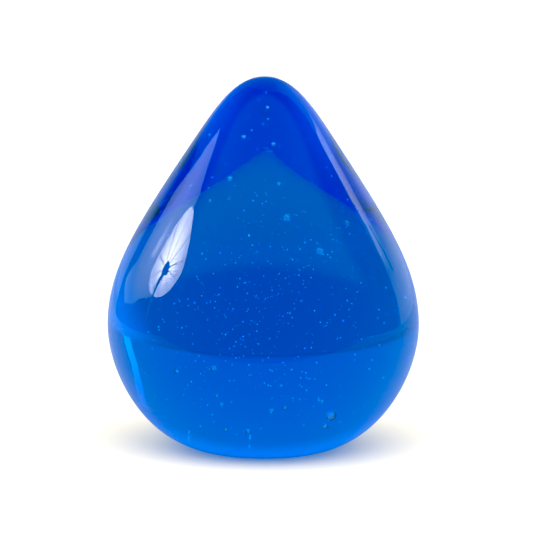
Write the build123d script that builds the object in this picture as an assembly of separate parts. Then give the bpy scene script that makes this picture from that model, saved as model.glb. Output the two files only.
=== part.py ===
from build123d import *
import os

# A squeeze drop: a clear elastomer skin full of blue gel, closed by a plug in its foot.
# Millimetres. The origin is the centre of the flat foot, and +Z runs up the axis to the tip.
# Every piece is a body of revolution about Z.

# The drop's outline
HEIGHT = 72.2
BELLY_RADIUS = 30.0
BELLY_HEIGHT = 24.4
FOOT_RADIUS = 8.0
# How far from the axis the tip's level tangent meets the line of the flank
TIP_REACH = 5.6
# How far above the belly the belly's upright tangent meets the line of the flank
SHOULDER_RISE = 10.6
# How far down the line of the flank the tip's curve lets go, the flank is straight,
# and the belly's curve takes over, as shares of the line's length
TIP_RELEASE = 0.14
FLANK_STRAIGHT = 0.385
BELLY_TAKEUP = 0.755
# How far the belly's upright tangent and the foot's level tangent hold below the belly
BELLY_DROP = 9.4
FOOT_ROLL = 14.3

# The skin: its wall at the belly and at the foot
BELLY_WALL = 1.8
FOOT_WALL = 2.0

# The fill hole, with a boss inside the skin for the plug to grip
BOSS_RADIUS = 6.0
BOSS_HEIGHT = 4.6
BOSS_EDGE_FILLET = 1.0
BOSS_ROOT_FILLET = 0.8
HOLE_RADIUS = 2.0
SEAT_RADIUS = 4.2
SEAT_DEPTH = 1.7

# The plug: its head lies in the seat, and its barb holds behind the boss
HEAD_RADIUS = 3.2
HEAD_RECESS = 0.5
HEAD_EDGE_FILLET = 0.3
BARB_RADIUS = 2.9
BARB_LENGTH = 2.2
BARB_TIP_RADIUS = 1.3

# The bead of sealant round the head, with a hollow face
BEAD_RECESS = 0.25
BEAD_HOLLOW = 0.2

AXIS_FOOT = Vector(0, 0, 0)


def between(start, end, share):
    """Return the point that lies the given share of the way from start to end."""
    return start + (end - start) * share


def turned(edges):
    """Return the solid that a closed half section makes when it is turned about Z."""
    return revolve(make_face(edges), axis=Axis.Z)


def drop(share=1.0, lift=0.0):
    """Return the whole drop, scaled by share about the foot's centre, then raised by lift."""
    tip = Vector(0, 0, HEIGHT)
    tip_corner = Vector(TIP_REACH, 0, HEIGHT)
    belly_corner = Vector(BELLY_RADIUS, 0, BELLY_HEIGHT + SHOULDER_RISE)
    tip_release = between(tip_corner, belly_corner, TIP_RELEASE)
    flank = between(tip_corner, belly_corner, FLANK_STRAIGHT)
    belly_takeup = between(tip_corner, belly_corner, BELLY_TAKEUP)
    belly = Vector(BELLY_RADIUS, 0, BELLY_HEIGHT)
    belly_drop = Vector(BELLY_RADIUS, 0, BELLY_HEIGHT - BELLY_DROP)
    foot_roll = Vector(FOOT_RADIUS + FOOT_ROLL, 0, 0)
    foot = Vector(FOOT_RADIUS, 0, 0)
    outline = [
        Bezier(tip, tip_corner, tip_release, flank),
        Bezier(flank, belly_takeup, belly_corner, belly),
        Bezier(belly, belly_drop, foot_roll, foot),
        Line(foot, AXIS_FOOT),
        Line(AXIS_FOOT, tip),
    ]
    return Pos(0, 0, lift) * scale(turned(outline), by=share)


def disc(radius, bottom, top):
    """Return a cylinder on the axis between two heights."""
    return Pos(0, 0, bottom) * Cylinder(radius, top - bottom, align=(Align.CENTER, Align.CENTER, Align.MIN))


def make_cavity():
    """Return the space inside the skin, with the plug's boss standing up into it."""
    hollow = drop(1.0 - BELLY_WALL / BELLY_RADIUS, FOOT_WALL)
    boss = disc(BOSS_RADIUS, 0, BOSS_HEIGHT)
    boss = fillet(boss.edges().group_by(Axis.Z)[-1], BOSS_EDGE_FILLET)
    cavity = hollow - boss
    root = cavity.edges().filter_by(GeomType.CIRCLE).group_by(Axis.Z)[0].sort_by(SortBy.RADIUS)[0]
    return fillet(root, BOSS_ROOT_FILLET)


def make_skin(cavity):
    """Return the skin: the drop without its cavity, with the fill hole and the plug's seat."""
    hole = disc(HOLE_RADIUS, 0, BOSS_HEIGHT)
    seat = disc(SEAT_RADIUS, 0, SEAT_DEPTH)
    return drop() - cavity - hole - seat


def make_plug():
    """Return the plug: a round head, a shank as thick as the hole, and a tapered barb."""
    head = disc(HEAD_RADIUS, HEAD_RECESS, SEAT_DEPTH)
    head = fillet(head.edges().group_by(Axis.Z)[0], HEAD_EDGE_FILLET)
    shank = disc(HOLE_RADIUS, SEAT_DEPTH, BOSS_HEIGHT)
    barb = Cone(BARB_RADIUS, BARB_TIP_RADIUS, BARB_LENGTH, align=(Align.CENTER, Align.CENTER, Align.MIN))
    return head + shank + Pos(0, 0, BOSS_HEIGHT) * barb


def make_bead(plug):
    """Return the ring of sealant that fills the seat round the plug's head."""
    inner = Vector(HEAD_RADIUS - HEAD_EDGE_FILLET, 0, BEAD_RECESS)
    outer = Vector(SEAT_RADIUS, 0, BEAD_RECESS)
    low_point = between(inner, outer, 0.5) + Vector(0, 0, BEAD_HOLLOW)
    inner_top = Vector(inner.X, 0, SEAT_DEPTH)
    outer_top = Vector(SEAT_RADIUS, 0, SEAT_DEPTH)
    section = [
        ThreePointArc(inner, low_point, outer),
        Line(outer, outer_top),
        Line(outer_top, inner_top),
        Line(inner_top, inner),
    ]
    return turned(section) - plug


cavity = make_cavity()
plug = make_plug()
pieces = {
    "skin": make_skin(cavity),
    "gel_core": cavity - plug,
    "fill_plug": plug,
    "seal_bead": make_bead(plug),
}

os.makedirs("parts", exist_ok=True)
for name, piece in pieces.items():
    piece.label = name
    export_step(piece, f"parts/{name}.step")
    print(name, "volume", round(piece.volume, 1), "mm3")
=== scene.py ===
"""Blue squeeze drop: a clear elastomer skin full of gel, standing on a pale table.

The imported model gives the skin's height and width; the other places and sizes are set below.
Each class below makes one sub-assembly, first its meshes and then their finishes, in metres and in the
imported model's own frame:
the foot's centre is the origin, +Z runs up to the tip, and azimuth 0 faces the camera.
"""

import logging
import math
from dataclasses import dataclass, field
from enum import Enum
from typing import Any

import bpy
from mathutils import Matrix, Vector, noise


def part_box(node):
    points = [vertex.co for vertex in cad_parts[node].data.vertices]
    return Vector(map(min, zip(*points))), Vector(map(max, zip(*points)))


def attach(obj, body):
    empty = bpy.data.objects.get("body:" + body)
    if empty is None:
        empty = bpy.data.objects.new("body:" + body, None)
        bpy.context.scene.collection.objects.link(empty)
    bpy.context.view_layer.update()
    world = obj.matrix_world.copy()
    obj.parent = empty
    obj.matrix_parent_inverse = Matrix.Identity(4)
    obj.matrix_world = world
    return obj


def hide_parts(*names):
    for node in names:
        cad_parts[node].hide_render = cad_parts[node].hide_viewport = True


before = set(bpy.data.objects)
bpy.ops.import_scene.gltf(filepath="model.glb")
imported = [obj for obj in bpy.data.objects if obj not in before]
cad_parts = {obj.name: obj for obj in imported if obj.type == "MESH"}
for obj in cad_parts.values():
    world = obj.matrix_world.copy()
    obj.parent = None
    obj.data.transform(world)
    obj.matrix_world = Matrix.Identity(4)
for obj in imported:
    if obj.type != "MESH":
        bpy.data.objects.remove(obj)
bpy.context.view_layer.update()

LOG = logging.getLogger("squeeze_drop")
MM = 0.001
BODY = "root"
GEL_IOR = 1.38
ON_AXIS = 1e-7
WHITE = (1.0, 1.0, 1.0, 1.0)

Point = tuple[float, float]
Colour = tuple[float, float, float, float]


# ---------------------------------------------------------------- helpers


def linear(hex_colour: str) -> Colour:
    """Turn an sRGB hex colour into linear light.

    Args:
        hex_colour: Six hex digits after a hash sign.

    Returns:
        Red, green, blue and an alpha of 1, in linear light.
    """
    shares = [int(hex_colour[i : i + 2], 16) / 255 for i in (1, 3, 5)]
    red, green, blue = (c / 12.92 if c <= 0.04045 else ((c + 0.055) / 1.055) ** 2.4 for c in shares)
    return red, green, blue, 1.0


def add_node(
    tree: bpy.types.NodeTree, kind: str, settings: dict | None = None, links: dict | None = None
) -> Any:
    """Add a node to a tree, set it and link it.

    Args:
        tree: The tree to add to.
        kind: The node's type name.
        settings: Values by socket name, socket number or property name.
        links: The output sockets that feed the node's inputs, by socket name or number.

    Returns:
        The new node.
    """
    node = tree.nodes.new(kind)
    for key, value in (settings or {}).items():
        if isinstance(key, int) or key in node.inputs:
            node.inputs[key].default_value = value
        else:
            setattr(node, key, value)
    for key, socket in (links or {}).items():
        tree.links.new(socket, node.inputs[key])
    return node


def new_material(name: str) -> tuple[bpy.types.Material, bpy.types.NodeTree]:
    """Make an empty node material.

    Args:
        name: The material's common name.

    Returns:
        The material and its tree.
    """
    material = bpy.data.materials.new(name)
    material.use_nodes = True
    material.node_tree.nodes.clear()
    return material, material.node_tree


def combine(tree: bpy.types.NodeTree, kind: str, settings: dict, inputs: dict) -> Any:
    """Add a node whose inputs may each be a number or a socket.

    Args:
        tree: The tree to add to.
        kind: The node's type name.
        settings: Values by property name.
        inputs: A number or an output socket for each socket number.

    Returns:
        The node's first output socket.
    """
    numbers = {key: value for key, value in inputs.items() if isinstance(value, float)}
    sockets = {key: value for key, value in inputs.items() if key not in numbers}
    return add_node(tree, kind, {**settings, **numbers}, sockets).outputs[0]


def multiply(tree: bpy.types.NodeTree, first: Any, second: Any) -> Any:
    """Return the socket of a product of numbers or sockets."""
    return combine(tree, "ShaderNodeMath", {"operation": "MULTIPLY"}, {0: first, 1: second})


def mix(tree: bpy.types.NodeTree, low: Any, high: Any, share: Any) -> Any:
    """Return the socket of a level that goes from low to high as the share goes from 0 to 1."""
    return combine(tree, "ShaderNodeMix", {"data_type": "FLOAT"}, {0: share, 2: low, 3: high})


def ramp(
    tree: bpy.types.NodeTree, value: Any, ends: Point, levels: Point = (0.0, 1.0), soft: bool = True
) -> Any:
    """Map a value between two ends to two levels.

    Args:
        tree: The tree to add to.
        value: The socket to map.
        ends: The value at each end.
        levels: The result at each end.
        soft: Whether the change eases in and out.

    Returns:
        The result's socket.
    """
    settings = {
        "interpolation_type": "SMOOTHSTEP" if soft else "LINEAR",
        "From Min": ends[0], "From Max": ends[1], "To Min": levels[0], "To Max": levels[1],
    }
    return add_node(tree, "ShaderNodeMapRange", settings, {"Value": value}).outputs["Result"]


def mirrored_rays(tree: bpy.types.NodeTree, ray: Any) -> Any:
    """Return a socket that is 1 for rays that a surface mirrors and 0 for those that it bends."""
    return multiply(tree, ray["Is Glossy Ray"], ray["Is Reflection Ray"])


def mesh_object(
    name: str, points: Any, faces: Any, materials: list[bpy.types.Material]
) -> bpy.types.Object:
    """Make a smooth mesh object at the origin.

    Args:
        name: The object's name.
        points: Its corners, in metres.
        faces: Its faces, as corner numbers.
        materials: Its material slots.

    Returns:
        The new object, linked to the scene.
    """
    mesh = bpy.data.meshes.new(name)
    mesh.from_pydata([tuple(p) for p in points], [], [tuple(f) for f in faces])
    mesh.polygons.foreach_set("use_smooth", [True] * len(mesh.polygons))
    for material in materials:
        mesh.materials.append(material)
    mesh.update()
    piece = bpy.data.objects.new(name, mesh)
    bpy.context.scene.collection.objects.link(piece)
    return piece


def lathe(section: list[Point], sides: int, closed: bool = False) -> tuple[list, list[tuple[int, ...]]]:
    """Turn a half section about Z.

    The section runs so that the solid lies on its right as radius goes right and height goes up.
    A point on the axis becomes one pole corner.

    Args:
        section: Radius and height of each point, in order.
        sides: How many times round.
        closed: Whether the last point joins the first, as on a ring.

    Returns:
        The corners and the faces.
    """
    corners: list[tuple[float, float, float]] = []
    rows: list[list[int]] = []
    for radius, height in section:
        if radius < ON_AXIS:
            rows.append([len(corners)] * sides)
            corners.append((0.0, 0.0, height))
            continue
        rows.append(list(range(len(corners), len(corners) + sides)))
        turns = (2 * math.pi * k / sides for k in range(sides))
        corners.extend((radius * math.cos(a), radius * math.sin(a), height) for a in turns)
    pairs = list(zip(rows, rows[1:] + rows[:1] if closed else rows[1:]))
    faces = []
    for upper, lower in pairs:
        for k in range(sides):
            j = (k + 1) % sides
            ring = [upper[k], lower[k], lower[j], upper[j]]
            face = [c for i, c in enumerate(ring) if c != ring[i - 1]]
            faces.append(tuple(face))
    return corners, faces


def facing(azimuth: float, elevation: float) -> Vector:
    """Return the unit direction at an azimuth and an elevation.

    Args:
        azimuth: Degrees from the camera's side, 90 being to the right.
        elevation: Degrees above the horizon.

    Returns:
        The direction.
    """
    turn, rise = math.radians(azimuth), math.radians(elevation)
    return Vector((math.sin(turn) * math.cos(rise), -math.cos(turn) * math.cos(rise), math.sin(rise)))


# ---------------------------------------------------------------- finishes


@dataclass(frozen=True)
class MouldedElastomer:
    """Clear elastomer moulded in a polished tool: a wet gloss, and a faint blue bloom at its edges."""

    name: str = "clear moulded elastomer"
    tint: str = "#A6CCFF"
    ior: float = GEL_IOR
    bloom: float = 0.5
    bloom_spread: float = 0.35
    bloom_tint: Colour = (0.05, 0.22, 1.0, 1.0)
    ripple: float = 7.0 * MM
    ripple_depth: float = 0.02 * MM

    def build(self) -> bpy.types.Material:
        """Return the outer face's material: sharp reflections that waver a little, as on soft skin."""
        material, tree = new_material(self.name)
        place = add_node(tree, "ShaderNodeTexCoord")
        ripples = add_node(
            tree,
            "ShaderNodeTexNoise",
            {"Scale": 1 / self.ripple, "Detail": 2.0, "Roughness": 0.4},
            {"Vector": place.outputs["Object"]},
        )
        bump = add_node(
            tree,
            "ShaderNodeBump",
            {"Strength": 1.0, "Distance": self.ripple_depth},
            {"Height": ripples.outputs["Fac"]},
        )
        shader = add_node(
            tree,
            "ShaderNodeBsdfPrincipled",
            {
                "Base Color": linear(self.tint),
                "Transmission Weight": 1.0,
                "IOR": self.ior,
                "Roughness": 0.0,
                "Sheen Weight": self.bloom,
                "Sheen Roughness": self.bloom_spread,
                "Sheen Tint": self.bloom_tint,
            },
            {"Normal": bump.outputs["Normal"]},
        )
        add_node(tree, "ShaderNodeOutputMaterial", links={"Surface": shader.outputs["BSDF"]})
        return material


@dataclass(frozen=True)
class BondedFace:
    """The face where the skin and the gel have wetted each other: it neither bends nor reflects light."""

    name: str = "elastomer wetted by gel"

    def build(self) -> bpy.types.Material:
        """Return the inner face's material."""
        material, tree = new_material(self.name)
        shader = add_node(
            tree,
            "ShaderNodeBsdfPrincipled",
            {"Base Color": WHITE, "Transmission Weight": 1.0, "IOR": 1.0, "Roughness": 0.0},
        )
        add_node(tree, "ShaderNodeOutputMaterial", links={"Surface": shader.outputs["BSDF"]})
        return material


@dataclass(frozen=True)
class DyedGel:
    """Soft gel dyed blue all through: it drinks the red first, then the green."""

    name: str = "dyed soft gel"
    dye: Colour = (0.0, 0.80, 0.985, 1.0)
    strength: float = 150.0

    def build(self) -> bpy.types.Material:
        """Return the gel's material, whose colour deepens with the light's path through it."""
        material, tree = new_material(self.name)
        shader = add_node(
            tree,
            "ShaderNodeBsdfPrincipled",
            {"Base Color": WHITE, "Transmission Weight": 1.0, "IOR": 1.0, "Roughness": 0.0},
        )
        dye = add_node(tree, "ShaderNodeVolumeAbsorption", {"Color": self.dye, "Density": self.strength})
        add_node(
            tree,
            "ShaderNodeOutputMaterial",
            links={"Surface": shader.outputs["BSDF"], "Volume": dye.outputs["Volume"]},
        )
        return material


@dataclass(frozen=True)
class MouldedRubber:
    """Blue elastomer moulded in a blasted tool: an even satin face, a little blotchy in colour."""

    name: str = "satin moulded elastomer"
    light: str = "#1E62C8"
    dark: str = "#123F93"
    blotch: float = 2.5 * MM
    roughness: float = 0.38
    ior: float = 1.5

    def build(self) -> bpy.types.Material:
        """Return the plug's material."""
        material, tree = new_material(self.name)
        place = add_node(tree, "ShaderNodeTexCoord")
        blotches = add_node(
            tree,
            "ShaderNodeTexNoise",
            {"Scale": 1 / self.blotch, "Detail": 4.0},
            {"Vector": place.outputs["Object"]},
        )
        colours = add_node(
            tree,
            "ShaderNodeMix",
            {"data_type": "RGBA", 6: linear(self.dark), 7: linear(self.light)},
            {0: blotches.outputs["Fac"]},
        )
        shader = add_node(
            tree,
            "ShaderNodeBsdfPrincipled",
            {"Roughness": self.roughness, "IOR": self.ior},
            {"Base Color": colours.outputs[2]},
        )
        add_node(tree, "ShaderNodeOutputMaterial", links={"Surface": shader.outputs["BSDF"]})
        return material


@dataclass(frozen=True)
class CuredSealant:
    """Clear solvent sealant, cured glossy, with a faint blue from what it joins."""

    name: str = "cured clear sealant"
    tint: str = "#9DBEEA"
    wavers_per_metre: float = 900.0
    waver_depth: float = 0.05 * MM
    clearness: float = 0.6
    ior: float = 1.43
    roughness: float = 0.12

    def build(self) -> bpy.types.Material:
        """Return the bead's material."""
        material, tree = new_material(self.name)
        place = add_node(tree, "ShaderNodeTexCoord")
        waver = add_node(
            tree,
            "ShaderNodeTexNoise",
            {"Scale": self.wavers_per_metre, "Detail": 2.0},
            {"Vector": place.outputs["Object"]},
        )
        depth = {"Distance": self.waver_depth}
        bump = add_node(tree, "ShaderNodeBump", depth, {"Height": waver.outputs["Fac"]})
        shader = add_node(
            tree,
            "ShaderNodeBsdfPrincipled",
            {
                "Base Color": linear(self.tint),
                "Transmission Weight": self.clearness,
                "IOR": self.ior,
                "Roughness": self.roughness,
            },
            {"Normal": bump.outputs["Normal"]},
        )
        add_node(tree, "ShaderNodeOutputMaterial", links={"Surface": shader.outputs["BSDF"]})
        return material


@dataclass(frozen=True)
class GasBubble:
    """Gas held in the gel: its wall bends light the opposite way to a glass bead, and specks look milky.

    The glow stands for the light that the many turns inside a small bubble give back.
    """

    name: str = "gas in gel"
    colour: str = "#E4F6FF"
    glow: float = 0.07

    def build(self) -> bpy.types.Material:
        """Return the bubbles' material."""
        material, tree = new_material(self.name)
        wall = add_node(tree, "ShaderNodeBsdfGlass", {"Color": WHITE, "IOR": 1 / GEL_IOR, "Roughness": 0.0})
        lit = add_node(tree, "ShaderNodeEmission", {"Color": linear(self.colour), "Strength": self.glow})
        both = add_node(tree, "ShaderNodeAddShader", {}, {0: wall.outputs[0], 1: lit.outputs[0]})
        add_node(tree, "ShaderNodeOutputMaterial", links={"Surface": both.outputs[0]})
        return material


@dataclass(frozen=True)
class Glow:
    """A lit cloth or board: it gives out its own even light."""

    name: str
    colour: str = "#FFFFFF"
    strength: float = 1.0

    def build(self) -> bpy.types.Material:
        """Return the lit surface's material."""
        material, tree = new_material(self.name)
        settings = {"Color": linear(self.colour), "Strength": self.strength}
        light = add_node(tree, "ShaderNodeEmission", settings)
        add_node(tree, "ShaderNodeOutputMaterial", links={"Surface": light.outputs["Emission"]})
        return material


# ---------------------------------------------------------------- the drop's outline


@dataclass(frozen=True)
class Outline:
    """The drop's half section: three cubic curves from the tip to the flat foot.

    The flank's straight line is the shared tangent of the tip's curve and the belly's curve,
    so the curvature runs on without a step.
    """

    height: float
    belly_radius: float
    belly_height: float = 24.4 * MM
    foot_radius: float = 8.0 * MM
    tip_reach: float = 5.6 * MM
    shoulder_rise: float = 10.6 * MM
    tip_release: float = 0.14
    flank_straight: float = 0.385
    belly_takeup: float = 0.755
    belly_drop: float = 9.4 * MM
    foot_roll: float = 14.3 * MM

    def curves(self) -> list[list[Point]]:
        """Return the control points of the three curves, tip first."""
        top = (self.tip_reach, self.height)
        side = (self.belly_radius, self.belly_height + self.shoulder_rise)
        shares = (self.tip_release, self.flank_straight, self.belly_takeup)
        release, flank, takeup = [
            (top[0] + (side[0] - top[0]) * s, top[1] + (side[1] - top[1]) * s) for s in shares
        ]
        belly = (self.belly_radius, self.belly_height)
        return [
            [(0.0, self.height), top, release, flank],
            [flank, takeup, side, belly],
            [belly, (self.belly_radius, self.belly_height - self.belly_drop),
             (self.foot_radius + self.foot_roll, 0.0), (self.foot_radius, 0.0)],
        ]

    def section(self, steps: int, share: float = 1.0, lift: float = 0.0) -> list[Point]:
        """Return points from the tip to the foot's edge.

        Args:
            steps: How many points each curve gives.
            share: A scale about the foot's centre.
            lift: How far the scaled outline is raised.

        Returns:
            Radius and height of each point.
        """
        points = []
        for a, b, c, d in self.curves():
            for k in range(steps):
                t = k / steps
                weights = ((1 - t) ** 3, 3 * (1 - t) ** 2 * t, 3 * (1 - t) * t * t, t**3)
                points.append(tuple(sum(w * p[i] for w, p in zip(weights, (a, b, c, d))) for i in (0, 1)))
        points.append((self.foot_radius, 0.0))
        return [(r * share, z * share + lift) for r, z in points]


def arc(centre: Point, radius: float, start: float, end: float, steps: int = 6) -> list[Point]:
    """Return points along an arc in the half section, both ends included, with angles in degrees."""
    angles = [math.radians(start + (end - start) * k / steps) for k in range(steps + 1)]
    return [(centre[0] + radius * math.cos(a), centre[1] + radius * math.sin(a)) for a in angles]


# ---------------------------------------------------------------- the object


@dataclass
class Closure:
    """The fill hole's sizes, shared by the skin, the gel, the plug and the bead."""

    boss_radius: float = 6.0 * MM
    boss_height: float = 4.6 * MM
    boss_edge: float = 1.0 * MM
    boss_root: float = 0.8 * MM
    hole_radius: float = 2.0 * MM
    seat_radius: float = 4.2 * MM
    seat_depth: float = 1.7 * MM
    head_radius: float = 3.2 * MM
    head_recess: float = 0.5 * MM
    head_edge: float = 0.3 * MM
    barb_radius: float = 2.9 * MM
    barb_shoulder: float = 0.15 * MM
    barb_length: float = 2.2 * MM
    barb_tip: float = 1.3 * MM
    bead_recess: float = 0.25 * MM
    bead_hollow: float = 0.2 * MM

    def boss(self, floor: float, gap: float = 0.0) -> list[Point]:
        """Return the boss's side from the cavity's floor to its flat top, gap outside the skin."""
        root, edge = self.boss_root - gap, self.boss_edge + gap
        foot = arc((self.boss_radius + self.boss_root, floor + self.boss_root), root, 270, 180)
        top = arc((self.boss_radius - self.boss_edge, self.boss_height - self.boss_edge), edge, 0, 90)
        return foot + top


@dataclass
class Drop:
    """The squeeze drop: skin, gel, plug, bead and the bubbles held in the gel."""

    closure: Closure = field(default_factory=Closure)
    belly_wall: float = 1.8 * MM
    foot_wall: float = 2.0 * MM
    sides: int = 224
    steps: int = 48
    small_sides: int = 96
    bead_steps: int = 10
    joint_gap: float = 0.03 * MM
    swell: float = 14.0 * MM
    swell_depth: float = 0.05 * MM
    still_below: float = 4.0 * MM
    still_share: float = 0.5
    swell_climb: float = 0.3

    def __post_init__(self) -> None:
        """Read the skin's box and set the outline by it."""
        low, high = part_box("skin")
        self.outline = Outline(height=high[2] - low[2], belly_radius=(high[0] - low[0]) / 2)
        self.share = 1 - self.belly_wall / self.outline.belly_radius

    def skin(self) -> bpy.types.Object:
        """Return the skin: the outer face, the fill hole and the inner face as one closed surface."""
        c = self.closure
        outer = self.outline.section(self.steps)
        hole = [
            (c.seat_radius, 0.0), (c.seat_radius, c.seat_depth), (c.hole_radius, c.seat_depth),
            (c.hole_radius, c.boss_height),
        ]
        inner = self.outline.section(self.steps, self.share, self.foot_wall)[::-1]
        boss = c.boss(self.foot_wall)[::-1]
        section = outer + hole + boss + inner
        points, faces = lathe(section, self.sides)
        finishes = [MouldedElastomer().build(), BondedFace().build()]
        piece = mesh_object("drop_skin", self.swelled(points), faces, finishes)
        outer_rows = len(outer)
        slots = [0 if k // self.sides < outer_rows else 1 for k in range(len(faces))]
        piece.data.polygons.foreach_set("material_index", slots)
        return piece

    def swelled(self, points: list) -> list:
        """Move each point of the skin in or out a little, in long soft swells that fade out near the foot."""
        moved = []
        for point in points:
            place = Vector(point)
            rise = min(1.0, max(0.0, place.z / self.still_below - self.still_share))
            push = noise.noise(place / self.swell) * self.swell_depth * rise
            out = Vector((place.x, place.y, self.swell_climb * (place.z - self.outline.belly_height)))
            moved.append(place + out.normalized() * push if out.length else place)
        return moved

    def gel(self) -> bpy.types.Object:
        """Return the gel: what fills the skin, round the boss and the plug's barb."""
        c, gap = self.closure, self.joint_gap
        share = self.share - gap / self.outline.belly_radius
        wall = self.outline.section(self.steps, share, self.foot_wall + gap)
        top = c.boss_height + gap
        barb = [
            (c.barb_radius + gap, top), (c.barb_tip + gap, c.boss_height + c.barb_length + gap),
            (0.0, c.boss_height + c.barb_length + gap),
        ]
        points, faces = lathe(wall + c.boss(self.foot_wall, gap) + barb, self.sides)
        return mesh_object("drop_gel", points, faces, [DyedGel().build()])

    def plug(self) -> bpy.types.Object:
        """Return the plug: barb, shank and recessed round head."""
        c, gap = self.closure, self.joint_gap
        section = [
            (0.0, c.boss_height + c.barb_length),
            (c.barb_tip, c.boss_height + c.barb_length),
            (c.barb_radius, c.boss_height + c.barb_shoulder),
            (c.barb_radius, c.boss_height),
            (c.hole_radius - gap, c.boss_height),
            (c.hole_radius - gap, c.seat_depth),
            (c.head_radius, c.seat_depth),
        ]
        section += arc((c.head_radius - c.head_edge, c.head_recess + c.head_edge), c.head_edge, 0, -90)
        section.append((0.0, c.head_recess))
        points, faces = lathe(section, self.small_sides)
        return mesh_object("filler_plug", points, faces, [MouldedRubber().build()])

    def bead(self) -> bpy.types.Object:
        """Return the bead: a ring of sealant round the plug's head, its face drawn in by curing."""
        c, gap = self.closure, self.joint_gap
        inner, outer = c.head_radius + gap, c.seat_radius - gap
        middle, half = (inner + outer) / 2, (outer - inner) / 2
        face = [
            (middle - half * math.cos(a), c.bead_recess + c.bead_hollow * math.sin(a))
            for a in (math.pi * k / self.bead_steps for k in range(self.bead_steps + 1))
        ]
        section = face + [(outer, c.seat_depth - gap), (inner, c.seat_depth - gap)]
        points, faces = lathe(section[::-1], self.small_sides, closed=True)
        return mesh_object("seal_bead_ring", points, faces, [CuredSealant().build()])


@dataclass(frozen=True)
class BubblePlace:
    """One bubble big enough to see: its place and its diameter, in millimetres."""

    across: float
    behind: float
    above: float
    wide: float


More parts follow.
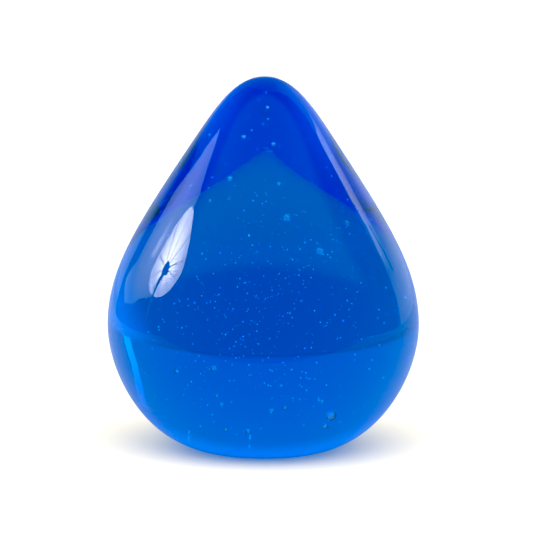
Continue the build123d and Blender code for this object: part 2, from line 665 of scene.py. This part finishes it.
@dataclass
class Bubbles:
    """Gas bubbles in the gel: some that show one by one, and a haze of fine ones."""

    drop: Drop
    fine_count: int = 2600
    fine_smallest: float = 0.06 * MM
    fine_largest: float = 0.15 * MM
    seed: int = 7
    small_bias: float = 2.0
    fine_glow: float = 0.35
    gel_volume: float = 9.0e-5
    voxel: float = 1.5 * MM
    cloud_share: float = 0.97
    cloud_lift: float = 1.6
    cloud_steps: int = 12
    cloud_sides: int = 48
    single_steps: int = 16
    single_sides: int = 32

    def haze(self) -> bpy.types.Object:
        """Return the fine bubbles, scattered through the gel by Geometry Nodes."""
        tree = bpy.data.node_groups.new("fine bubbles", "GeometryNodeTree")
        face = tree.interface
        face.new_socket("Geometry", in_out="INPUT", socket_type="NodeSocketGeometry")
        for name, kind in (
            ("Bubbles per cubic metre", "NodeSocketFloat"),
            ("Smallest radius", "NodeSocketFloat"),
            ("Largest radius", "NodeSocketFloat"),
            ("Voxel", "NodeSocketFloat"),
            ("Seed", "NodeSocketInt"),
            ("Material", "NodeSocketMaterial"),
        ):
            face.new_socket(name, in_out="INPUT", socket_type=kind)
        face.new_socket("Geometry", in_out="OUTPUT", socket_type="NodeSocketGeometry")
        given = add_node(tree, "NodeGroupInput").outputs
        inside = add_node(
            tree,
            "GeometryNodeMeshToVolume",
            {"resolution_mode": "VOXEL_SIZE", "Density": 1.0, "Interior Band Width": 0.05},
            {"Mesh": given["Geometry"], "Voxel Size": given["Voxel"]},
        )
        scatter = add_node(
            tree,
            "GeometryNodeDistributePointsInVolume",
            {"mode": "DENSITY_RANDOM"},
            {
                "Volume": inside.outputs["Volume"],
                "Density": given["Bubbles per cubic metre"],
                "Seed": given["Seed"],
            },
        )
        chance = add_node(tree, "FunctionNodeRandomValue", {"data_type": "FLOAT"}, {"Seed": given["Seed"]})
        power = {"operation": "POWER", 1: self.small_bias}
        skew = add_node(tree, "ShaderNodeMath", power, {0: chance.outputs[1]})
        radius = add_node(
            tree,
            "ShaderNodeMapRange",
            {},
            {"Value": skew.outputs[0], "To Min": given["Smallest radius"], "To Max": given["Largest radius"]},
        )
        ball = add_node(tree, "GeometryNodeMeshIcoSphere", {"Radius": 1.0, "Subdivisions": 1})
        smooth = add_node(tree, "GeometryNodeSetShadeSmooth", {}, {"Geometry": ball.outputs["Mesh"]})
        placed = add_node(
            tree,
            "GeometryNodeInstanceOnPoints",
            {},
            {
                "Points": scatter.outputs["Points"],
                "Instance": smooth.outputs[0],
                "Scale": radius.outputs["Result"],
            },
        )
        real = add_node(tree, "GeometryNodeRealizeInstances", {}, {"Geometry": placed.outputs["Instances"]})
        dressed = add_node(
            tree,
            "GeometryNodeSetMaterial",
            {},
            {"Geometry": real.outputs["Geometry"], "Material": given["Material"]},
        )
        add_node(tree, "NodeGroupOutput", {}, {"Geometry": dressed.outputs["Geometry"]})

        share, lift = self.drop.share * self.cloud_share, self.drop.foot_wall * self.cloud_lift
        wall = self.drop.outline.section(self.cloud_steps, share, lift)
        points, faces = lathe(wall + [(0.0, wall[-1][1])], self.cloud_sides)
        piece = mesh_object("bubble_haze", points, faces, [])
        modifier = piece.modifiers.new("scatter", "NODES")
        modifier.node_group = tree
        values = {
            "Bubbles per cubic metre": self.fine_count / self.gel_volume,
            "Smallest radius": self.fine_smallest,
            "Largest radius": self.fine_largest,
            "Voxel": self.voxel,
            "Seed": self.seed,
            "Material": GasBubble("fine gas in gel", glow=self.fine_glow).build(),
        }
        sockets = {s.name: s.identifier for s in face.items_tree if s.in_out == "INPUT"}
        for name, value in values.items():
            modifier[sockets[name]] = value
        evaluated = piece.evaluated_get(bpy.context.evaluated_depsgraph_get())
        mesh = bpy.data.meshes.new_from_object(evaluated)
        piece.modifiers.remove(modifier)
        piece.data = mesh
        return piece

    def single(self) -> bpy.types.Object:
        """Return the bubbles that show one by one, as one mesh of round bubbles."""
        places = [
            BubblePlace(12.0, -17.0, 11.0, 2.1),
            BubblePlace(1.5, -18.5, 12.5, 1.0),
            BubblePlace(4.0, -22.0, 13.0, 0.8),
            BubblePlace(10.0, -16.0, 14.0, 0.8),
            BubblePlace(11.0, -16.0, 9.0, 1.2),
            BubblePlace(-2.5, -17.5, 8.5, 1.1),
            BubblePlace(-6.5, -18.0, 8.5, 0.8),
            BubblePlace(-7.0, -18.0, 13.5, 0.9),
            BubblePlace(-8.0, -20.5, 15.0, 0.8),
            BubblePlace(-8.5, -15.5, 11.5, 0.6),
            BubblePlace(3.0, -16.5, 17.0, 0.6),
            BubblePlace(-8.5, -21.0, 20.0, 1.1),
            BubblePlace(-15.0, -18.5, 19.0, 1.0),
            BubblePlace(4.0, -14.5, 46.0, 1.4),
            BubblePlace(9.5, -14.0, 39.5, 1.4),
            BubblePlace(14.5, -10.5, 44.5, 1.2),
            BubblePlace(-6.0, -11.0, 53.0, 1.1),
            BubblePlace(2.5, -11.5, 52.0, 0.8),
            BubblePlace(-9.5, -12.5, 49.0, 0.7),
            BubblePlace(-3.5, -7.0, 60.5, 0.8),
            BubblePlace(1.5, -7.0, 59.0, 0.8),
            BubblePlace(0.5, -5.0, 66.0, 0.6),
            BubblePlace(-9.0, -2.0, 60.0, 0.7),
            BubblePlace(-11.0, -18.5, 40.0, 0.6),
        ]
        points, faces = [], []
        for place in places:
            radius = place.wide / 2 * MM
            turns = [math.pi * k / self.single_steps for k in range(self.single_steps + 1)]
            section = [(radius * math.sin(a), radius * math.cos(a)) for a in turns]
            section[0], section[-1] = (0.0, radius), (0.0, -radius)
            ball, quads = lathe(section, self.single_sides)
            first = len(points)
            centre = Vector((place.across, place.behind, place.above)) * MM
            points += [Vector(p) + centre for p in ball]
            faces += [tuple(i + first for i in quad) for quad in quads]
        return mesh_object("bubbles_single", points, faces, [GasBubble().build()])


# ---------------------------------------------------------------- the studio


class RayKind(Enum):
    """The rays that see a light: those that the drop mirrors, or those that pass through it."""

    MIRRORED = "mirrored"
    REFRACTED = "refracted"


@dataclass(frozen=True)
class LitCloth:
    """White cloth or board lit unevenly: a hot spot by its lamp that fades with distance."""

    name: str
    hot: Vector
    reach: float
    brightest: float
    dimmest: float

    def build(self) -> bpy.types.Material:
        """Return the lit cloth's material."""
        material, tree = new_material(self.name)
        place = add_node(tree, "ShaderNodeTexCoord")
        away = add_node(
            tree, "ShaderNodeVectorMath", {"operation": "DISTANCE", 1: self.hot}, {0: place.outputs["Object"]}
        )
        levels = (self.brightest, self.dimmest)
        level = ramp(tree, away.outputs["Value"], (0.0, self.reach), levels, soft=False)
        light = add_node(tree, "ShaderNodeEmission", {"Color": WHITE}, {"Strength": level})
        add_node(tree, "ShaderNodeOutputMaterial", links={"Surface": light.outputs["Emission"]})
        return material


@dataclass(frozen=True)
class LitBoard:
    """A flat lit board; its corners and hot spot are azimuths and elevations in degrees."""

    name: str
    corners: tuple[Point, ...]
    hot: Point
    reach: float
    brightest: float
    dimmest: float
    distance: float = 1.1
    rays: RayKind = RayKind.MIRRORED


@dataclass(frozen=True)
class RoomLevels:
    """How bright the room is to each kind of ray; a pair is the level at the left and at the right."""

    mirrored_low: Point = (0.66, 1.05)
    mirrored_high: Point = (0.28, 0.75)
    mirrored_below: Point = (0.45, 0.9)
    mirrored_unlit: float = 0.02
    ceiling: float = 1.05
    seen_above: Point = (0.72, 1.15)
    seen_below: Point = (0.50, 1.1)
    seen_front: float = 0.4
    seen_overhead: float = 1.1


@dataclass
class Studio:
    """The table, the lights and the camera."""

    middle: Vector = field(default_factory=lambda: Vector((0.0, 0.0, 0.0362)))
    levels: RoomLevels = field(default_factory=RoomLevels)

    distance: float = 0.65
    elevation: float = 7.75
    frame_width: float = 0.1024
    aside: float = 0.000545
    aim_height: float = 0.03563
    roll: float = 0.4
    table_front: float = -0.077
    table_left: float = -0.277
    table_right: float = 0.33
    table_back: float = 0.9
    table_drop: float = 0.02 * MM
    dome: float = 0.55
    front_light: float = 3.0
    table_lift: float = 0.10
    table_white: float = 0.86
    # Painted light on the table as seen through the drop: a brighter pool round the foot, and darker painted
    # shade farther off that lightens towards the right.
    painted_pool_level: float = 0.80
    painted_far_levels: Point = (0.34, 0.66)
    painted_far_turn: Point = (0.36, 0.62)
    table_mirrored: float = 0.38
    # Painted light: a glow on the table round the foot that only rays through the drop see.
    painted_foot_light: float = 0.18
    painted_pool_reach: Point = (0.055, 0.02)
    # Painted shadow: a warm, darker tint on the table round the foot that only the camera sees.
    painted_shadow_reach: Point = (0.062, 0.034)
    painted_shadow_tint: Colour = (0.99, 0.95, 0.78, 1.0)
    near_board: float = 0.9
    bar_level: float = 0.2
    deep_bounces: int = 256
    red_black: float = 0.06

    def camera(self) -> None:
        """Place the camera in front, a little above the horizon, with a long lens."""
        data = bpy.data.cameras.new("camera")
        data.sensor_width = 36.0
        data.lens = data.sensor_width * self.distance / self.frame_width
        data.clip_start, data.clip_end = 0.01, 10.0
        camera = bpy.data.objects.new("camera", data)
        bpy.context.scene.collection.objects.link(camera)
        aim = Vector((self.aside, 0.0, self.aim_height))
        camera.location = aim + facing(0.0, self.elevation) * self.distance
        tilt = Matrix.Rotation(math.radians(90 - self.elevation), 3, "X")
        roll = Matrix.Rotation(math.radians(self.roll), 3, "Z")
        camera.rotation_euler = (tilt @ roll).to_euler()
        bpy.context.scene.camera = camera

    def laminate(self) -> bpy.types.Material:
        """Return the table's finish: matt white, whose level differs for each kind of ray. Seen through the
        drop it carries painted light: a brighter pool and a painted glow round the foot, and painted shade
        farther off that lightens towards the right. To the camera it carries a warm, darker painted shadow
        round the foot.
        """
        material, tree = new_material("matt white laminate")
        ray = add_node(tree, "ShaderNodeLightPath").outputs
        through, eye = ray["Is Transmission Ray"], ray["Is Camera Ray"]
        place = add_node(tree, "ShaderNodeTexCoord").outputs["Object"]
        length = add_node(tree, "ShaderNodeVectorMath", {"operation": "LENGTH"}, {0: place})
        away = length.outputs["Value"]
        # Painted light for rays through the drop: the level is a brighter pool near the foot, and farther off
        # it is painted shade, lighter towards the right.
        near = ramp(tree, away, self.painted_pool_reach)
        bearing = add_node(tree, "ShaderNodeVectorMath", {"operation": "NORMALIZE"}, {0: place})
        turn = add_node(tree, "ShaderNodeSeparateXYZ", {}, {0: bearing.outputs["Vector"]})
        far = ramp(tree, turn.outputs["X"], self.painted_far_turn, self.painted_far_levels, soft=False)
        seen = mix(tree, far, self.painted_pool_level, near)
        mirrored = mix(tree, self.table_white, self.table_mirrored, mirrored_rays(tree, ray))
        white = mix(tree, mirrored, seen, through)
        # Painted shadow for the camera: near the foot the white is tinted warm and darker.
        painted_shadow = add_node(
            tree,
            "ShaderNodeMix",
            {"data_type": "RGBA", "blend_type": "MULTIPLY", 7: self.painted_shadow_tint},
            {0: multiply(tree, ramp(tree, away, self.painted_shadow_reach), eye), 6: white},
        )
        matt = {"Roughness": 0.9, "Specular IOR Level": 0.0}
        shader = add_node(tree, "ShaderNodeBsdfPrincipled", matt, {"Base Color": painted_shadow.outputs[2]})
        # The emission is painted light round the foot for rays through the drop, plus an even lift of the
        # whole table for the camera.
        strength = combine(
            tree,
            "ShaderNodeMath",
            {"operation": "MULTIPLY_ADD"},
            {0: multiply(tree, through, near), 1: self.painted_foot_light, 2: multiply(tree, eye, self.table_lift)},
        )
        glow = add_node(tree, "ShaderNodeEmission", {"Color": WHITE}, {"Strength": strength})
        both = add_node(tree, "ShaderNodeAddShader", {}, {0: shader.outputs[0], 1: glow.outputs[0]})
        add_node(tree, "ShaderNodeOutputMaterial", links={"Surface": both.outputs[0]})
        return material

    def table(self) -> None:
        """Lay the pale table top."""
        z = -self.table_drop
        corners = [
            (self.table_left, self.table_front, z), (self.table_right, self.table_front, z),
            (self.table_right, self.table_back, z), (self.table_left, self.table_back, z),
        ]
        mesh_object("table", corners, [(0, 1, 2, 3)], [self.laminate()])

    def room(self) -> None:
        """Set the room's light: white behind and overhead, dim in front, white to the camera."""
        world = bpy.data.worlds.new("studio")
        bpy.context.scene.world = world
        world.use_nodes = True
        tree = world.node_tree
        tree.nodes.clear()
        way = add_node(tree, "ShaderNodeTexCoord").outputs["Generated"]
        up, right, front = Vector((0, 0, 1)), facing(90.0, 0.0), facing(0.0, 0.0)

        def band(direction: Vector, start: float, end: float) -> Any:
            """Return a socket from 0 to 1 as the view turns towards a direction."""
            dot = {"operation": "DOT_PRODUCT", 1: direction}
            along = add_node(tree, "ShaderNodeVectorMath", dot, {0: way})
            return ramp(tree, along.outputs["Value"], (start, end))

        def sector(start: float, end: float, soft: float) -> Any:
            """Return a socket that is 1 between two azimuths, with edges of a given softness."""
            first = band(facing(start + 90.0, 0.0), -soft, soft)
            return multiply(tree, first, band(facing(end - 90.0, 0.0), -soft, soft))

        def across(pair: Point, share: Any) -> Any:
            """Return a socket that goes from a pair's left level to its right one."""
            return mix(tree, pair[0], pair[1], share)

        def background(level: Any) -> Any:
            """Return a white background's shader socket at a level, which is a number or a socket."""
            return combine(tree, "ShaderNodeBackground", {"Color": WHITE}, {1: level})

        lit = self.levels
        above = band(up, -0.02, 0.0)
        ceiling = multiply(tree, band(facing(180.0, 64.7), 0.26, 0.375), band(front, -0.1, 0.15))
        side = band(right, 0.1, 0.55)
        high = mix(tree, across(lit.mirrored_low, side), across(lit.mirrored_high, side), band(up, 0.15, 0.3))
        cloth = mix(tree, across(lit.mirrored_below, side), high, above)
        lit_side = mix(tree, lit.mirrored_unlit, cloth, sector(120.0, 219.0, 0.01))
        mirrored = mix(tree, lit_side, lit.ceiling, ceiling)
        seen_below = across(lit.seen_below, band(right, 0.35, 0.75))
        seen = mix(tree, seen_below, across(lit.seen_above, band(up, 0.44, 0.64)), above)
        seen_around = mix(tree, lit.seen_front, seen, sector(105.0, 255.0, 0.1))
        refracted = mix(tree, seen_around, lit.seen_overhead, band(up, 0.55, 0.72))
        lobe = combine(
            tree,
            "ShaderNodeMath",
            {"operation": "MULTIPLY_ADD"},
            {0: band(facing(0.0, 42.0), 0.35, 0.95), 1: self.front_light, 2: self.dome},
        )
        ray = add_node(tree, "ShaderNodeLightPath").outputs
        shader = background(lobe)
        for kind, level in (
            (ray["Is Transmission Ray"], refracted),
            (mirrored_rays(tree, ray), mirrored),
            (ray["Is Camera Ray"], 1.0),
        ):
            sockets = {0: kind, 1: shader, 2: background(level)}
            shader = add_node(tree, "ShaderNodeMixShader", {}, sockets).outputs[0]
        add_node(tree, "ShaderNodeOutputWorld", {}, {"Surface": shader})

    def aimed(self, way: Point, distance: float) -> Vector:
        """Return the point at an azimuth, an elevation and a distance from the drop's middle."""
        return self.middle + facing(*way) * distance

    def hide(self, piece: bpy.types.Object, rays: RayKind = RayKind.MIRRORED) -> None:
        """Stage a piece that only one kind of ray sees."""
        piece.visible_camera = False
        piece.visible_diffuse = False
        piece.visible_glossy = rays is RayKind.MIRRORED
        piece.visible_transmission = rays is RayKind.REFRACTED
        piece.visible_shadow = False

    def stand(
        self,
        name: str,
        corners: tuple[Point, ...],
        distance: float,
        finish: bpy.types.Material,
        rays: RayKind = RayKind.MIRRORED,
    ) -> None:
        """Stand a flat board round the drop.

        Args:
            name: The board's name.
            corners: Its corners, as azimuth and elevation from the drop's middle.
            distance: How far it stands from there.
            finish: Its material.
            rays: The rays that see it.
        """
        points = [self.aimed(way, distance) for way in corners]
        self.hide(mesh_object(name, points, [tuple(range(len(points)))], [finish]), rays)

    def lit_board(self, board: LitBoard) -> None:
        """Stand a lit board, whose finish is brightest at its hot spot."""
        hot = self.aimed(board.hot, board.distance)
        cloth = LitCloth(board.name.replace("_", " "), hot, board.reach, board.brightest, board.dimmest)
        self.stand(board.name, board.corners, board.distance, cloth.build(), board.rays)

    def boards(self) -> None:
        """Stand the wall and its streak at the left, and the strip with its bar and the lamp at the right."""
        self.lit_board(LitBoard(
            "left_wall",
            (
                (-94.0, 12.0), (-93.0, 40.5), (-101.0, 40.0), (-112.0, 37.5), (-115.0, 34.5),
                (-124.0, 28.0), (-131.0, 22.0), (-130.0, 18.0), (-130.0, 12.5), (-134.0, 8.5),
                (-135.5, 5.5), (-126.0, 1.5), (-114.0, 4.0), (-107.0, 8.0),
            ),
            hot=(-104.0, 28.0), reach=0.5, brightest=4.4, dimmest=1.0,
        ))
        self.lit_board(LitBoard(
            "left_streak",
            ((-115.5, 20.0), (-110.0, 22.0), (-108.5, 28.5), (-112.5, 30.0)),
            hot=(-112.5, 24.5), reach=0.1, brightest=7.0, dimmest=3.2, distance=self.near_board,
        ))
        self.lit_board(LitBoard(
            "right_strip",
            (
                (121.0, 12.0), (131.5, 12.0), (130.5, 17.0), (130.5, 21.5), (133.0, 24.0), (144.0, 25.0),
                (144.0, 26.5), (129.0, 28.5), (119.0, 32.0), (121.5, 26.5), (122.5, 23.0), (120.5, 20.0),
            ),
            hot=(122.0, 27.0), reach=0.25, brightest=3.8, dimmest=0.9,
        ))
        self.stand(
            "right_strip_bar",
            ((125.9, 21.5), (127.0, 21.5), (128.5, 11.0), (127.2, 11.0)),
            self.near_board,
            Glow("bar", strength=self.bar_level).build(),
        )
        self.lit_board(LitBoard(
            "right_lamp",
            (
                (137.0, -1.5), (142.5, -1.5), (145.0, 6.0), (144.0, 12.5), (142.5, 17.0), (139.5, 21.0),
                (138.0, 25.0), (131.5, 25.0), (135.0, 19.0), (139.0, 13.0), (140.5, 7.0),
            ),
            hot=(138.0, 1.0), reach=0.3, brightest=2.4, dimmest=1.1, rays=RayKind.REFRACTED,
        ))

    def exposure(self) -> None:
        """Set how far light is followed and how the picture's black is cut in the red."""
        scene = bpy.context.scene
        scene.cycles.use_denoising = True
        scene.cycles.max_bounces = self.deep_bounces
        scene.cycles.transmission_bounces = self.deep_bounces
        scene.cycles.glossy_bounces = 12
        scene.cycles.diffuse_bounces = 4
        scene.cycles.transparent_max_bounces = 16
        scene.cycles.sample_clamp_indirect = 8.0
        scene.view_settings.view_transform = "Standard"
        scene.view_settings.use_curve_mapping = True
        scene.view_settings.curve_mapping.black_level = (self.red_black, 0.0, 0.0)
        scene.view_settings.curve_mapping.update()

    def build(self) -> None:
        """Make the whole studio."""
        self.camera()
        self.table()
        self.room()
        Umbrella(self).build()
        self.boards()
        self.exposure()


@dataclass
class Umbrella:
    """The shoot-through umbrella at the left: cloth, ribs, lamp head and pole. Angles are in degrees."""

    studio: Studio
    distance: float = 0.95
    centre: Point = (-90.8, 26.2)
    hot: Point = (-91.5, 28.5)
    shaft: Point = (-91.5, 25.5)
    shaft_inset: float = 0.02
    wide: float = 14.8
    tall: float = 12.5
    lean: float = 33.0
    reach: float = 0.2
    brightest: float = 36.0
    dimmest: float = 10.0
    ribs: int = 10
    panels: int = 4
    rib_half: float = 0.005
    rib_inset: float = 0.01
    rib_level: float = 5.0
    metal_level: float = 0.6

    def __post_init__(self) -> None:
        """Set the cloth's own axes."""
        self.place = self.studio.aimed(self.centre, self.distance)
        self.inward = (self.studio.middle - self.place).normalized()
        self.side = self.inward.cross(Vector((0, 0, 1))).normalized()
        self.up = self.side.cross(self.inward)

    def rim(self, turn: float) -> Vector:
        """Return the rim point at a turn: an oval, wider than tall and leaning."""
        wide = self.distance * math.tan(math.radians(self.wide))
        tall = self.distance * math.tan(math.radians(self.tall))
        lean = math.radians(self.lean)
        x, y = wide * math.cos(turn), tall * math.sin(turn)
        return self.place + self.side * (x * math.cos(lean) - y * math.sin(lean)) + self.up * (
            x * math.sin(lean) + y * math.cos(lean)
        )

    def cloth(self, corners: list[Vector]) -> None:
        """Stretch the lit cloth from the middle to the rim's corners."""
        faces = [(0, k + 1, (k + 1) % len(corners) + 1) for k in range(len(corners))]
        hot = self.studio.aimed(self.hot, self.distance)
        finish = LitCloth("umbrella cloth", hot, self.reach, self.brightest, self.dimmest).build()
        self.studio.hide(mesh_object("umbrella", [self.place, *corners], faces, [finish]))

    def frame(self, corners: list[Vector]) -> None:
        """Run a rib from the shaft to every corner that carries one."""
        shaft = self.studio.aimed(self.shaft, self.distance - self.shaft_inset)
        points, faces = [], []
        for k in range(self.ribs):
            end = corners[k * self.panels] + self.inward * self.rib_inset
            along = (end - shaft).normalized()
            across = along.cross(self.inward).normalized() * self.rib_half
            first = len(points)
            points += [shaft - across, shaft + across, end + across, end - across]
            faces.append((first, first + 1, first + 2, first + 3))
        finish = Glow("rib", strength=self.rib_level).build()
        self.studio.hide(mesh_object("umbrella_ribs", points, faces, [finish]))

    def build(self) -> None:
        """Stand the umbrella with its lamp."""
        count = self.ribs * self.panels
        corners = [self.rim(2 * math.pi * k / count) for k in range(count)]
        self.cloth(corners)
        metal = Glow("dark lamp metal", strength=self.metal_level).build()
        self.frame(corners)
        head = (
            (-94.4, 26.2), (-92.6, 28.0), (-90.4, 27.8), (-87.8, 26.3),
            (-87.6, 23.9), (-92.4, 22.6), (-94.8, 24.0),
        )
        pole = ((-93.4, 23.4), (-90.6, 23.4), (-92.4, 14.5), (-94.0, 1.0), (-94.9, 1.0), (-94.6, 14.5))
        self.studio.stand("lamp_head", head, self.studio.near_board, metal)
        self.studio.stand("lamp_pole", pole, self.studio.near_board, metal)


def report(piece: bpy.types.Object) -> None:
    """Log a finished piece and how many faces it has."""
    LOG.info("%s: %d faces", piece.name, len(piece.data.polygons))


def main() -> None:
    """Build the drop and the studio, attach each piece to the body, hide the model part it stands for, and
    log its faces.
    """
    logging.basicConfig(level=logging.INFO, format="%(name)s: %(message)s")
    drop = Drop()
    bubbles = Bubbles(drop)
    made = [
        (drop.skin(), "skin_elastomer", "skin"),
        (drop.gel(), "gel_fill", "gel_core"),
        (drop.plug(), "plug_elastomer", "fill_plug"),
        (drop.bead(), "bead_sealant", "seal_bead"),
        (bubbles.single(), "gel_fill", None),
        (bubbles.haze(), "gel_fill", None),
    ]
    for piece, slot, node in made:
        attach(piece, BODY)
        if node:
            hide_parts(node)
        report(piece)
    Studio().build()


if __name__ == "__main__":
    main()
